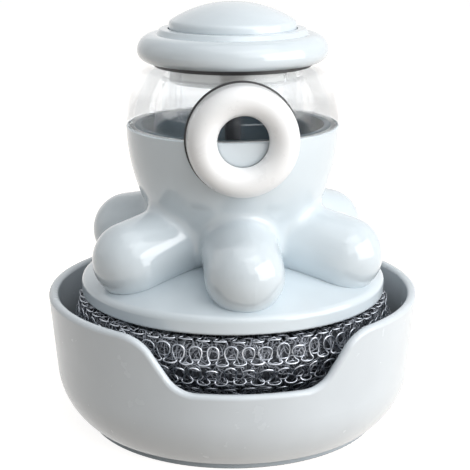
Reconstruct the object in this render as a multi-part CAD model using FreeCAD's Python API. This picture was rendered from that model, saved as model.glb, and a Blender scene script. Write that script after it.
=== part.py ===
import FreeCAD, Part
import math
import os

# A soap-dispensing palm scrubber standing in its drip tray. Millimetres, +Z up.
# The front, with the ring and the tray's notch, faces -Y. The origin is on the table, under the tray's middle.

Vector = FreeCAD.Vector

# Fits and clearances
FIT_GAP = 0.05            # between pieces pressed or set into each other
MOVING_GAP = 0.3          # between pieces of different moving bodies
GUIDE_GAP = 0.05          # radial, a rod sliding in its guide

# Drip tray
TRAY_RIM_RADIUS = 50.3
TRAY_HEIGHT = 36.75
TRAY_WALL = 2.5
TRAY_LEAN = math.radians(5.0)
TRAY_SHOULDER = 19.5      # outer radius of the round between wall and floor
TRAY_CUT = 4.45           # the flat underside cuts the round this far above its lowest point
TRAY_RIM_ROUND = 1.1
NOTCH_DEPTH = 13.5
NOTCH_TOP_HALF = 26.5     # half width where the notch leaves the rim
NOTCH_FLOOR_HALF = 17.5   # half width where the slopes would meet the notch floor
NOTCH_LIP_ROUND = 9.0
NOTCH_FLOOR_ROUND = 8.0
RIB_COUNT = 6
RIB_HEIGHT = 4.6
RIB_WIDTH = 2.0
RIB_INNER = 9.0
RIB_SETBACK = 17.3        # rib ends inside the tray's rim

# Anti-slip foot ring under the tray
FOOT_LAND = 1.4           # tray's underside outside the ring
FOOT_WIDTH = 4.0
FOOT_HEIGHT = 2.0         # stands below the tray's underside
FOOT_SEAT = 1.0           # depth of its groove in the tray
FOOT_ROUND = 0.4

# Wire scrubber pad and the core it is knitted around
PAD_ROOM = 6.7            # from the pad's widest place to the tray's rim
PAD_HEIGHT = 26.55
PAD_TOP_DRAW = 2.6        # the pad's top edge, inside its widest place
PAD_BOTTOM_DRAW = 13.6    # the flat underside's edge, inside its widest place
PAD_BULGE_DROP = 7.0      # how far the widest place lies below the top
PAD_LOWER_DRAW = 4.7      # where the side turns in to the underside, inside its widest place
PAD_LOWER_RISE = 9.0
PAD_GAP = 0.1             # soft pad to the rigid pieces that hold it
CORE_RADIUS = 17.0
CORE_THICKNESS = 2.5
CORE_DEPTH = 14.8         # core flange below the plate's underside
HUB_RADIUS = 6.2
HUB_BORE = 3.0
HUB_TOP_GAP = 0.5
SNAP_PROUD = 0.35
SNAP_HEIGHT = 1.2
SNAP_DROP = 4.0           # below the plate's underside
SOAP_HOLES = 6
SOAP_HOLE_RADIUS = 1.4
SOAP_HOLE_CIRCLE = 11.5

# Domed plate that the legs stand on
PLATE_SETBACK = 2.3       # plate's edge inside the pad's widest place
PLATE_EDGE = 4.4          # height of the plate's side, up to the dome's corner
PLATE_CROWN = 7.3         # rise of the dome above that corner
PLATE_WALL = 2.4
PLATE_RIM = 2.6           # width of the flat rim that rests on the pad
PLATE_TOP_ROUND = 1.9
PLATE_LOWER_ROUND = 0.8
PLATE_BOSS_WALL = 2.7
PLATE_BOSS_LENGTH = 11.0
PLATE_OUTLET_RADIUS = 3.0
PLATE_FLOOR = 1.1         # between the hub's bore and the socket for the reservoir's outlet tube

# Body with six legs
HEAD_RADIUS = 28.3        # at the split between body and clear dome
HEAD_CURVE = 49.3         # radius of the body's side below the split
HEAD_RISE = 41.1          # split above the corner of the plate's edge
BODY_WALL = 2.2
LEG_COUNT = 6
LEG_RADIUS = 10.15
LEG_INSET = 9.1           # ball centre inside the plate's edge
LEG_LIFT = 5.6            # ball centre above the plate's dome
LEG_SLOPE = math.radians(12.5)
LEG_BLEND = 3.2           # width of the soft join between legs and head
PEDESTAL_BLEND = 6.0
SKIN_COLUMNS_PER_LEG = 28
SKIN_ROWS = 64
RIM_LAND = 0.8            # body rim outside the cup's lip
RIM_CHAMFER = 0.3         # along the line between body and dome, on both
BOSS_RADIUS = 2.6
PILOT_RADIUS = 1.0
PILOT_DEPTH = 7.0

# Leg screws
SCREW_HEAD_RADIUS = 2.2
SCREW_HEAD_HEIGHT = 1.4
SCREW_SHANK_RADIUS = 0.95
SCREW_GRIP = 6.0          # shank length inside the leg
SCREW_DRIVE_RADIUS = 0.8
SCREW_DRIVE_DEPTH = 0.7
POST_WALL = 1.2           # round each screw's head, under the plate

# Soap reservoir
CUP_WALL = 1.5
CUP_CLEARANCE = 0.3
CUP_LIP = 1.2
CUP_FLOOR = 2.0
CUP_ROOM = 0.8            # cup floor above the plate's dome
SEAT_ROOM = 1.0           # round the valve seat's flange on the cup floor
CHAMBER_RADIUS = 5.6      # bore of the outlet tube
OUTLET_WALL = 1.6
OUTLET_CLEARANCE = 0.4
OUTLET_SEAL = 1.2         # thickness of the washer under the outlet tube
DOME_WALL = 2.2
DOME_CURVE = 27.5
DOME_HEIGHT = 15.6
DOME_TOP_ROUND = 5.0
NECK_BORE = 16.9
NECK_WALL = 1.9
NECK_LENGTH = 13.0
DOME_SEAL_THICKNESS = 0.6

# Front ring
RING_RADIUS = 14.0
RING_HOLE = 6.5
RING_RISE = 0.4           # centre above the split
RING_PROUD = 4.3          # front face ahead of the head
RING_PAD = 0.5            # dark pad between ring and head
RING_PAD_LIP = 0.45       # pad beyond the ring's outline
PEG_RADIUS = 1.4
PEG_DEPTH = 1.5

# Dispensing valve in the cup floor
VALVE_TRAVEL = 4.0
SEAT_RADIUS = 4.9
SEAT_FLANGE_RADIUS = 6.8
SEAT_FLANGE = 1.0
FLOW_HOLES = 6
FLOW_HOLE_RADIUS = 0.8
FLOW_CIRCLE = 3.1
STEM_RADIUS = 1.5
STEM_FOOT_RADIUS = 2.8
STEM_FOOT_HEIGHT = 1.0
PLUG_RADIUS = 4.4
PLUG_THICKNESS = 1.6
KEEPER_RADIUS = 3.6
KEEPER_THICKNESS = 1.6
VALVE_SPRING_LENGTH = 8.0
VALVE_SPRING_RADIUS = 2.5
VALVE_WIRE_RADIUS = 0.25
VALVE_SPRING_TURNS = 5

# Filler cap
GASKET_RADIUS = 20.7
GASKET_WIDTH = 1.2
GASKET_THICKNESS = 1.15
CAP_RADIUS = 25.15
CAP_LOWER_ROUND = 2.85
CAP_UPPER_ROUND = 4.35
CAP_CREASE_RADIUS = 20.0
CAP_FLOOR = 1.6
CAP_LEDGE_RISE = 1.35     # ledge above the crease
CAP_LEDGE_DRAW = 0.8      # ledge inside the crease
CAP_LEDGE_ROUND = 0.5
PLUG_SKIRT = 3.6
PLUG_FLOOR = 1.6
PLUG_WALL = 1.6

# Press button, rod and its guide
BUTTON_RADIUS = 16.75
BUTTON_SIDE = 1.8         # upright side above the cap's ledge
BUTTON_CROWN = 5.1
BUTTON_WALL = 2.0
BUTTON_SKIRT = 2.1
BUTTON_EDGE_ROUND = 1.3
SPRING_SEAT_RADIUS = 8.0
SPRING_SEAT_DROP = 4.7    # spring seat below the button's crown
BUTTON_BOSS_RADIUS = 4.2
BUTTON_BOSS_LENGTH = 3.3
ROD_RADIUS = 2.2
ROD_SOCKET = 4.0
BUTTON_SPRING_RADIUS = 6.4
BUTTON_WIRE_RADIUS = 0.4
BUTTON_SPRING_TURNS = 4
BUSH_RADIUS = 3.4
BUSH_FLANGE_RADIUS = 5.0
BUSH_FLANGE = 1.0
BUSH_NOSE = 6.4           # bush below the plug's floor
BUSH_RIDGE = 0.4
BUSH_RIDGE_HEIGHT = 1.2
ROD_SEAL_HEIGHT = 1.2
ROD_SEAL_WALL = 0.7
CLIP_RADIUS = 4.0
CLIP_THICKNESS = 0.8
CLIP_GAP = 0.2

# Radii and levels, worked out from the sizes above
TRAY_ROUND_Z = FOOT_HEIGHT - TRAY_CUT + TRAY_SHOULDER
TRAY_ROUND_R = (
    TRAY_RIM_RADIUS - (TRAY_HEIGHT - TRAY_ROUND_Z) * math.tan(TRAY_LEAN) - TRAY_SHOULDER / math.cos(TRAY_LEAN)
)
UNDERSIDE_RADIUS = TRAY_ROUND_R + math.sqrt(TRAY_SHOULDER ** 2 - (TRAY_SHOULDER - TRAY_CUT) ** 2)
FOOT_RADIUS = UNDERSIDE_RADIUS - FOOT_LAND
RIB_OUTER = TRAY_RIM_RADIUS - RIB_SETBACK
TRAY_FLOOR_Z = FOOT_HEIGHT + TRAY_WALL
PAD_RADIUS = TRAY_RIM_RADIUS - PAD_ROOM
PAD_BOTTOM_Z = TRAY_FLOOR_Z + RIB_HEIGHT + MOVING_GAP
PAD_TOP_Z = PAD_BOTTOM_Z + PAD_HEIGHT
PLATE_RADIUS = PAD_RADIUS - PLATE_SETBACK
PLATE_Z = PAD_TOP_Z + PAD_GAP
PLATE_EDGE_Z = PLATE_Z + PLATE_EDGE
PLATE_TOP_Z = PLATE_EDGE_Z + PLATE_CROWN
PLATE_SPHERE = (PLATE_RADIUS ** 2 + PLATE_CROWN ** 2) / (2 * PLATE_CROWN)
PLATE_CENTRE_Z = PLATE_TOP_Z - PLATE_SPHERE
SOCKET_Z = PLATE_Z + PLATE_FLOOR
CORE_TOP_Z = PLATE_Z - CORE_DEPTH
LEG_REACH = PLATE_RADIUS - LEG_INSET
LEG_FOOT_Z = PLATE_CENTRE_Z + math.sqrt(PLATE_SPHERE ** 2 - LEG_REACH ** 2)
LEG_Z = LEG_FOOT_Z + LEG_LIFT
LEG_ROOT_Z = LEG_Z + LEG_REACH * math.tan(LEG_SLOPE)
SCREW_SEAT_Z = LEG_FOOT_Z - PLATE_WALL
SPLIT_Z = PLATE_EDGE_Z + HEAD_RISE
HEAD_CENTRE_R = HEAD_RADIUS - HEAD_CURVE
CUP_OUTER_CURVE = HEAD_CURVE - BODY_WALL - CUP_CLEARANCE
CUP_INNER_CURVE = CUP_OUTER_CURVE - CUP_WALL
SEAT_FLOOR_DROP = math.sqrt(CUP_INNER_CURVE ** 2 - (SEAT_FLANGE_RADIUS + SEAT_ROOM - HEAD_CENTRE_R) ** 2)
CUP_FLOOR_Z = max(PLATE_TOP_Z + CUP_ROOM + CUP_FLOOR, SPLIT_Z - SEAT_FLOOR_DROP)
CUP_UNDERSIDE_Z = CUP_FLOOR_Z - CUP_FLOOR
OUTLET_RADIUS = CHAMBER_RADIUS + OUTLET_WALL
OUTLET_END_Z = SOCKET_Z + OUTLET_SEAL
PEDESTAL_RADIUS = OUTLET_RADIUS + OUTLET_CLEARANCE + BODY_WALL
DOME_CENTRE_R = HEAD_RADIUS - DOME_CURVE
DOME_TOP_Z = SPLIT_Z + DOME_HEIGHT
NECK_BOTTOM_Z = DOME_TOP_Z - NECK_LENGTH
RING_Z = SPLIT_Z + RING_RISE
RING_MIDDLE = (RING_RADIUS + RING_HOLE) / 2
SEAT_TOP_Z = CUP_FLOOR_Z + SEAT_FLANGE
KEEPER_Z = SEAT_TOP_Z + VALVE_SPRING_LENGTH
STEM_TOP_Z = KEEPER_Z + KEEPER_THICKNESS
PLUG_TOP_Z = CUP_UNDERSIDE_Z - FIT_GAP
CAP_Z = DOME_TOP_Z + GASKET_THICKNESS
CAP_WIDE_Z = CAP_Z + CAP_LOWER_ROUND
CAP_FLOOR_Z = CAP_Z + CAP_FLOOR
CAP_ROUND_R = CAP_RADIUS - CAP_UPPER_ROUND
CAP_CREASE_Z = CAP_WIDE_Z + math.sqrt(CAP_UPPER_ROUND ** 2 - (CAP_CREASE_RADIUS - CAP_ROUND_R) ** 2)
BUTTON_BASE_Z = CAP_CREASE_Z + CAP_LEDGE_RISE
BUTTON_SHOULDER_Z = BUTTON_BASE_Z + BUTTON_SIDE
BUTTON_TOP_Z = BUTTON_SHOULDER_Z + BUTTON_CROWN
BUTTON_SPHERE = (BUTTON_RADIUS ** 2 + BUTTON_CROWN ** 2) / (2 * BUTTON_CROWN)
SPRING_SEAT_Z = BUTTON_TOP_Z - SPRING_SEAT_DROP
BOSS_BOTTOM_Z = SPRING_SEAT_Z - BUTTON_BOSS_LENGTH
ROD_TOP_Z = BOSS_BOTTOM_Z + ROD_SOCKET
ROD_BOTTOM_Z = STEM_TOP_Z + MOVING_GAP
WELL_RADIUS = BUTTON_RADIUS + MOVING_GAP
PLUG_FLOOR_Z = CAP_Z - PLUG_FLOOR
CAP_PLUG_RADIUS = NECK_BORE - MOVING_GAP
BUSH_BOTTOM_Z = PLUG_FLOOR_Z - BUSH_NOSE
BUSH_BORE = ROD_RADIUS + GUIDE_GAP


def at(radius, height):
    """A point of a turned outline, in the XZ plane."""
    return Vector(radius, 0, height)


def outline(start, *steps):
    """A closed wire. A step is a point to draw a line to, or a pair: the arc's middle and its end."""
    edges = []
    here = start
    for step in steps + (start,):
        if isinstance(step, tuple):
            edges.append(Part.Arc(here, step[0], step[1]).toShape())
            here = step[1]
        elif here.distanceToPoint(step) > 1e-7:
            edges.append(Part.makeLine(here, step))
            here = step
    return Part.Wire(edges)


def turned(start, *steps):
    """A solid turned about the vertical axis from its outline."""
    return Part.Face(outline(start, *steps)).revolve(Vector(0, 0, 0), Vector(0, 0, 1), 360)


def tube(outer, inner, bottom, top):
    """A plain ring or sleeve on the vertical axis."""
    return turned(at(inner, bottom), at(outer, bottom), at(outer, top), at(inner, top))


def rod(radius, bottom, top, x=0.0, y=0.0):
    return Part.makeCylinder(radius, top - bottom, Vector(x, y, bottom))


def around(count, radius, first=0.0):
    """Evenly spaced places on a circle, counted from the front."""
    for k in range(count):
        angle = first + 2 * math.pi * k / count
        yield radius * math.sin(angle), -radius * math.cos(angle)


def on_arc(centre_r, centre_z, radius, angle):
    return at(centre_r + radius * math.cos(angle), centre_z + radius * math.sin(angle))


def reach(centre_r, centre_z, radius, height):
    """Radius of a turned arc at a height, on its outer side."""
    return centre_r + math.sqrt(radius ** 2 - (height - centre_z) ** 2)


def span(centre_r, centre_z, radius, start_z, end_z):
    """The middle and the end of an arc between two heights."""
    start = math.asin((start_z - centre_z) / radius)
    end = math.asin((end_z - centre_z) / radius)
    return on_arc(centre_r, centre_z, radius, (start + end) / 2), on_arc(centre_r, centre_z, radius, end)


def round_edges(shape, size, radius, height):
    """Fillets the circular edges of one radius at one height."""
    chosen = []
    for edge in shape.Edges:
        if edge.Degenerated or not isinstance(edge.Curve, Part.Circle):
            continue
        if abs(edge.Curve.Radius - radius) < 1e-4 and abs(edge.CenterOfMass.z - height) < 1e-3:
            chosen.append(edge)
    return shape.makeFillet(size, chosen)


def rounded_corner(before, corner, after, radius):
    """Start, middle and end of the arc that rounds a corner."""
    back = (before - corner).normalize()
    ahead = (after - corner).normalize()
    half = back.getAngle(ahead) / 2
    inward = (back + ahead).normalize()
    middle = corner + inward * (radius / math.sin(half) - radius)
    run = radius / math.tan(half)
    return corner + back * run, middle, corner + ahead * run


def tray_profile(inset):
    """Shoulder and wall of the tray, moved inward by a wall's thickness: tangent point, arc middle, arc end."""
    radius = TRAY_SHOULDER - inset
    cut = math.asin((radius - TRAY_CUT) / radius)
    tangent = on_arc(TRAY_ROUND_R, TRAY_ROUND_Z, radius, -TRAY_LEAN)
    middle = on_arc(TRAY_ROUND_R, TRAY_ROUND_Z, radius, -(TRAY_LEAN + cut) / 2)
    end = on_arc(TRAY_ROUND_R, TRAY_ROUND_Z, radius, -cut)
    return tangent, middle, end


def rim_trim():
    """Everything above the tray's rim line: level all round, dipping to the notch at the front."""
    far = 2 * TRAY_RIM_RADIUS
    above = TRAY_HEIGHT + TRAY_WALL * 4
    floor = TRAY_HEIGHT - NOTCH_DEPTH
    left = Vector(-far, -far, TRAY_HEIGHT)
    lip_left = Vector(-NOTCH_TOP_HALF, -far, TRAY_HEIGHT)
    floor_left = Vector(-NOTCH_FLOOR_HALF, -far, floor)
    floor_right = Vector(NOTCH_FLOOR_HALF, -far, floor)
    lip_right = Vector(NOTCH_TOP_HALF, -far, TRAY_HEIGHT)
    right = Vector(far, -far, TRAY_HEIGHT)
    corners = [
        rounded_corner(left, lip_left, floor_left, NOTCH_LIP_ROUND),
        rounded_corner(lip_left, floor_left, floor_right, NOTCH_FLOOR_ROUND),
        rounded_corner(floor_left, floor_right, lip_right, NOTCH_FLOOR_ROUND),
        rounded_corner(floor_right, lip_right, right, NOTCH_LIP_ROUND),
    ]
    steps = []
    for start, middle, end in corners:
        steps += [start, (middle, end)]
    steps += [right, Vector(far, -far, above), Vector(-far, -far, above)]
    front = Part.Face(outline(left, *steps)).extrude(Vector(0, far, 0))
    back = Part.makeBox(2 * far, far, above - TRAY_HEIGHT, Vector(-far, 0, TRAY_HEIGHT))
    return front.fuse(back).removeSplitter()


def round_rim(tray):
    """Rounds both edges of the rim, down through the notch."""
    chosen = []
    for edge in tray.Edges:
        kinds = [type(face.Surface) for face in tray.ancestorsOfType(edge, Part.Face)]
        walls = [kind for kind in kinds if kind in (Part.Cone, Part.Toroid)]
        trims = [kind for kind in kinds if kind in (Part.Plane, Part.Cylinder)]
        if len(walls) == 1 and len(trims) == 1 and edge.BoundBox.ZMax > TRAY_HEIGHT - NOTCH_DEPTH - TRAY_WALL:
            chosen.append(edge)
    return tray.makeFillet(TRAY_RIM_ROUND, chosen)


def tray_bowl():
    wall_top = TRAY_HEIGHT + TRAY_WALL
    lean_out = (wall_top - TRAY_HEIGHT) * math.tan(TRAY_LEAN)
    outer_tangent, outer_middle, outer_end = tray_profile(0)
    inner_tangent, inner_middle, inner_end = tray_profile(TRAY_WALL)
    rim_outer = TRAY_RIM_RADIUS + lean_out
    rim_inner = rim_outer - TRAY_WALL / math.cos(TRAY_LEAN)
    bowl = turned(
        at(0, FOOT_HEIGHT), outer_end, (outer_middle, outer_tangent), at(rim_outer, wall_top),
        at(rim_inner, wall_top), inner_tangent, (inner_middle, inner_end), at(0, TRAY_FLOOR_Z),
    )
    bowl = round_rim(bowl.cut(rim_trim()))
    for k in range(RIB_COUNT):
        rib = Part.makeBox(
            RIB_OUTER - RIB_INNER, RIB_WIDTH, RIB_HEIGHT + TRAY_WALL / 2,
            Vector(RIB_INNER, -RIB_WIDTH / 2, TRAY_FLOOR_Z - TRAY_WALL / 2),
        )
        rib.rotate(Vector(0, 0, 0), Vector(0, 0, 1), 360 / RIB_COUNT * k)
        bowl = bowl.fuse(rib)
    groove = tube(FOOT_RADIUS + FIT_GAP, FOOT_RADIUS - FOOT_WIDTH - FIT_GAP, 0, FOOT_HEIGHT + FOOT_SEAT)
    return bowl.cut(groove)


def tray_foot_ring():
    ring = tube(FOOT_RADIUS, FOOT_RADIUS - FOOT_WIDTH, 0, FOOT_HEIGHT + FOOT_SEAT)
    ring = round_edges(ring, FOOT_ROUND, FOOT_RADIUS, 0)
    return round_edges(ring, FOOT_ROUND, FOOT_RADIUS - FOOT_WIDTH, 0)


def boss_outer():
    """Outer radius of the plate's boss, which the core's hub snaps into."""
    return HUB_RADIUS + FIT_GAP + PLATE_BOSS_WALL


def scrubber_pad():
    """A bun of wire, closed below, with a pocket for the core and a hole for the plate's boss."""
    hole = boss_outer() + PAD_GAP
    pocket = CORE_RADIUS + PAD_GAP
    pocket_top = CORE_TOP_Z + PAD_GAP
    pocket_bottom = CORE_TOP_Z - CORE_THICKNESS - PAD_GAP
    lower_radius = PAD_RADIUS - PAD_LOWER_DRAW
    bottom_radius = PAD_RADIUS - PAD_BOTTOM_DRAW
    lower = at(lower_radius, PAD_BOTTOM_Z + PAD_LOWER_RISE)
    corner = at(
        bottom_radius + (lower_radius - bottom_radius) * math.sin(math.pi / 4),
        PAD_BOTTOM_Z + PAD_LOWER_RISE * (1 - math.sin(math.pi / 4)),
    )
    return turned(
        at(hole, PAD_TOP_Z), at(PAD_RADIUS - PAD_TOP_DRAW, PAD_TOP_Z),
        (at(PAD_RADIUS, PAD_TOP_Z - PAD_BULGE_DROP), lower), (corner, at(bottom_radius, PAD_BOTTOM_Z)),
        at(0, PAD_BOTTOM_Z), at(0, pocket_bottom), at(pocket, pocket_bottom),
        at(pocket, pocket_top), at(hole, pocket_top),
    )


def scrubber_core():
    bottom = CORE_TOP_Z - CORE_THICKNESS
    top = PLATE_Z - HUB_TOP_GAP
    snap_top = PLATE_Z - SNAP_DROP
    snap_middle = snap_top - SNAP_HEIGHT / 2
    core = turned(
        at(HUB_BORE, bottom), at(CORE_RADIUS, bottom), at(CORE_RADIUS, CORE_TOP_Z),
        at(HUB_RADIUS, CORE_TOP_Z), at(HUB_RADIUS, snap_top - SNAP_HEIGHT),
        at(HUB_RADIUS + SNAP_PROUD, snap_middle), at(HUB_RADIUS, snap_top),
        at(HUB_RADIUS, top), at(HUB_BORE, top),
    )
    for x, y in around(SOAP_HOLES, SOAP_HOLE_CIRCLE):
        core = core.cut(rod(SOAP_HOLE_RADIUS, bottom, CORE_TOP_Z, x, y))
    return core


def on_plate(radius, inset):
    """A point of the plate's dome, or of a dome at a depth below it."""
    return at(radius, PLATE_CENTRE_Z + math.sqrt((PLATE_SPHERE - inset) ** 2 - radius ** 2))


def under_plate(inset):
    """Everything below the plate's dome, or below a dome at a depth under it."""
    return Part.makeSphere(PLATE_SPHERE - inset, Vector(0, 0, PLATE_CENTRE_Z))


def base_plate():
    """Domed shell with a rim, a boss for the core's hub, a socket for the outlet tube, and a post for each screw."""
    bore = HUB_RADIUS + FIT_GAP
    boss_end = PLATE_Z - PLATE_BOSS_LENGTH
    socket_radius = OUTLET_RADIUS + FIT_GAP
    rim_inner = PLATE_RADIUS - PLATE_RIM
    snap_top = PLATE_Z - SNAP_DROP
    snap_middle = snap_top - SNAP_HEIGHT / 2
    plate = turned(
        at(PLATE_OUTLET_RADIUS, PLATE_Z), at(bore, PLATE_Z), at(bore, snap_top),
        at(bore + SNAP_PROUD, snap_middle), at(bore, snap_top - SNAP_HEIGHT),
        at(bore, boss_end), at(boss_outer(), boss_end), on_plate(boss_outer(), PLATE_WALL),
        (on_plate((boss_outer() + rim_inner) / 2, PLATE_WALL), on_plate(rim_inner, PLATE_WALL)),
        at(rim_inner, PLATE_Z), at(PLATE_RADIUS, PLATE_Z), at(PLATE_RADIUS, PLATE_EDGE_Z),
        (on_plate((PLATE_RADIUS + socket_radius) / 2, 0), on_plate(socket_radius, 0)),
        at(socket_radius, SOCKET_Z), at(PLATE_OUTLET_RADIUS, SOCKET_Z),
    )
    plate = round_edges(plate, PLATE_TOP_ROUND, PLATE_RADIUS, PLATE_EDGE_Z)
    plate = round_edges(plate, PLATE_LOWER_ROUND, PLATE_RADIUS, PLATE_Z)
    inside = under_plate(PLATE_WALL / 2)
    for x, y in around(LEG_COUNT, LEG_REACH):
        post = rod(SCREW_HEAD_RADIUS + FIT_GAP + POST_WALL, PLATE_Z, PLATE_TOP_Z, x, y)
        plate = plate.fuse(post.common(inside))
        plate = plate.cut(rod(SCREW_HEAD_RADIUS + FIT_GAP, PLATE_Z, SCREW_SEAT_Z, x, y))
        plate = plate.cut(rod(SCREW_SHANK_RADIUS + FIT_GAP, PLATE_Z, PLATE_TOP_Z, x, y))
    return plate


def leg_screws():
    """One screw up through the plate into each leg."""
    head_z = SCREW_SEAT_Z - SCREW_HEAD_HEIGHT
    screws = []
    for x, y in around(LEG_COUNT, LEG_REACH):
        head = rod(SCREW_HEAD_RADIUS, head_z, SCREW_SEAT_Z, x, y)
        shank = rod(SCREW_SHANK_RADIUS, head_z, LEG_FOOT_Z + SCREW_GRIP, x, y)
        drive = rod(SCREW_DRIVE_RADIUS, head_z, head_z + SCREW_DRIVE_DEPTH, x, y)
        screws.append(head.fuse(shank).removeSplitter().cut(drive))
    return Part.makeCompound(screws)


def soft_union(first, second, width):
    """Signed distance to two shapes joined with a soft fillet."""
    overlap = max(width - abs(first - second), 0) / width
    return min(first, second) - overlap * overlap * width / 4


def leg_distance(radius, height, angle, inset):
    """Signed distance to a leg: a round bar from the axis out to its ball, seen at an angle from its middle."""
    along = radius * math.cos(angle)
    aside = radius * math.sin(angle)
    slope_x = math.cos(LEG_SLOPE)
    slope_z = -math.sin(LEG_SLOPE)
    length = LEG_REACH / slope_x
    run = min(max(along * slope_x + (height - LEG_ROOT_Z) * slope_z, 0), length)
    off_x = along - run * slope_x
    off_z = height - LEG_ROOT_Z - run * slope_z
    return math.sqrt(off_x ** 2 + off_z ** 2 + aside ** 2) - (LEG_RADIUS - inset)


def body_distance(radius, height, angle, inset):
    """Signed distance to the body's skin, moved inward by inset. The angle is from the nearest leg."""
    step = 2 * math.pi / LEG_COUNT
    near = leg_distance(radius, height, angle, inset)
    beside = leg_distance(radius, height, step - abs(angle), inset)
    legs = soft_union(near, beside, LEG_BLEND)
    head = math.hypot(radius - HEAD_CENTRE_R, height - SPLIT_Z) - (HEAD_CURVE - inset)
    if height > SPLIT_Z:
        head = radius - (HEAD_RADIUS - inset)
    pedestal = radius - (PEDESTAL_RADIUS - inset)
    return soft_union(legs, soft_union(head, pedestal, PEDESTAL_BLEND), LEG_BLEND)


def skin_point(angle, tilt, inset):
    """Radius and height where a ray from the legs' common root meets the skin, at an angle from a leg."""
    inside = 0.0
    outside = LEG_REACH + 3 * LEG_RADIUS
    for _ in range(40):
        middle = (inside + outside) / 2
        if body_distance(middle * math.cos(tilt), LEG_ROOT_Z + middle * math.sin(tilt), angle, inset) < 0:
            inside = middle
        else:
            outside = middle
    return inside * math.cos(tilt), LEG_ROOT_Z + inside * math.sin(tilt)


def skin_strip(angle, inset, top_z, bottom_z):
    """The skin's line at an angle from a leg, from the top circle down to the pedestal's."""
    top_tilt = math.atan2(top_z - LEG_ROOT_Z, HEAD_RADIUS - inset)
    bottom_tilt = -math.atan2(LEG_ROOT_Z - bottom_z, PEDESTAL_RADIUS - inset)
    strip = [(HEAD_RADIUS - inset, top_z)]
    for row in range(1, SKIN_ROWS - 1):
        tilt = top_tilt + (bottom_tilt - top_tilt) * row / (SKIN_ROWS - 1)
        strip.append(skin_point(angle, tilt, inset))
    return strip + [(PEDESTAL_RADIUS - inset, bottom_z)]


def smoothed(poles, along_columns):
    """What a cubic skin makes of its poles, in one of its two directions."""
    columns = len(poles)
    result = []
    for column, strip in enumerate(poles):
        before, after = poles[column - 1], poles[(column + 1) % columns]
        line = list(strip)
        for row in range(len(strip)):
            if along_columns:
                line[row] = (before[row] + strip[row] * 4 + after[row]) * (1 / 6)
            elif 2 < row < len(strip) - 3:
                line[row] = (strip[row - 1] + strip[row] * 4 + strip[row + 1]) * (1 / 6)
        result.append(line)
    return result


def skin_poles(places):
    """Poles whose skin passes through the places, found by correcting them a few times."""
    poles = places
    for _ in range(6):
        made = smoothed(smoothed(poles, True), False)
        poles = [
            [pole + place - there for pole, place, there in zip(*strips)] for strips in zip(poles, places, made)
        ]
    return poles


def skin_solid(inset, top_z, bottom_z):
    """The body as one smooth closed skin, from a level circle at the top to one on the pedestal."""
    half = SKIN_COLUMNS_PER_LEG // 2
    columns = LEG_COUNT * SKIN_COLUMNS_PER_LEG
    turn_step = 2 * math.pi / columns
    half_leg = [skin_strip(turn_step * k, inset, top_z, bottom_z) for k in range(half + 1)]
    places = []
    for column in range(columns):
        aside = half - abs(column % SKIN_COLUMNS_PER_LEG - half)
        turn = turn_step * column
        places.append([Vector(r * math.sin(turn), -r * math.cos(turn), z) for r, z in half_leg[aside]])
    inner_knots = SKIN_ROWS - 4
    skin = Part.BSplineSurface()
    skin.buildFromPolesMultsKnots(
        skin_poles(places), [1] * (columns + 1), [4] + [1] * inner_knots + [4],
        list(range(columns + 1)), list(range(inner_knots + 2)), True, False, 3, 3,
    )
    side = skin.toShape()
    closed = [edge for edge in side.Edges if edge.isClosed()]
    faces = [side] + [Part.Face(Part.Wire([edge])) for edge in closed]
    shell = Part.makeShell(faces)
    shell.sewShape()
    solid = Part.Solid(shell)
    if solid.Volume < 0:
        solid.reverse()
    return solid


def peg_places():
    """Two pegs on the ring's lower half, left and right of the middle."""
    offset = RING_MIDDLE * math.sin(math.pi / 4)
    return [(-offset, RING_Z - offset), (offset, RING_Z - offset)]


def peg_tip(x, z, depth):
    """How far back a peg reaches: a depth into the body's wall, straight behind its place."""
    wall = reach(HEAD_CENTRE_R, SPLIT_Z, HEAD_CURVE, z)
    return -math.sqrt(wall ** 2 - x ** 2) + depth


def peg(radius, x, z, tip_y):
    front = HEAD_RADIUS + RING_PROUD - (RING_RADIUS - RING_HOLE) / 2
    return Part.makeCylinder(radius, tip_y + front, Vector(x, -front, z), Vector(0, 1, 0))


def body_hollow(below):
    """The space inside head and legs, with a solid post left standing in each leg for its screw."""
    hollow = skin_solid(BODY_WALL, SPLIT_Z + BODY_WALL, below - BODY_WALL)
    for x, y in around(LEG_COUNT, LEG_REACH):
        hollow = hollow.cut(rod(BOSS_RADIUS, PLATE_EDGE_Z, LEG_Z + LEG_RADIUS - BODY_WALL / 2, x, y))
    return hollow


def body_shell():
    """Hollow head and legs, cut off by the plate's dome, with a bored post inside each leg."""
    below = PLATE_EDGE_Z - BODY_WALL
    shell = skin_solid(0, SPLIT_Z, below).cut(body_hollow(below))
    shell = shell.cut(under_plate(-FIT_GAP))
    for x, y in around(LEG_COUNT, LEG_REACH):
        shell = shell.cut(rod(PILOT_RADIUS, PLATE_EDGE_Z, LEG_FOOT_Z + PILOT_DEPTH, x, y))
    shell = shell.cut(rod(HEAD_RADIUS - RIM_LAND, SPLIT_Z - CUP_LIP, SPLIT_Z))
    shell = shell.cut(turned(
        at(HEAD_RADIUS - RIM_CHAMFER, SPLIT_Z), at(HEAD_RADIUS + RIM_CHAMFER, SPLIT_Z - 2 * RIM_CHAMFER),
        at(HEAD_RADIUS + RIM_CHAMFER, SPLIT_Z),
    ))
    for x, z in peg_places():
        shell = shell.cut(peg(PEG_RADIUS + FIT_GAP, x, z, peg_tip(x, z, PEG_DEPTH + FIT_GAP)))
    return shell


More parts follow.
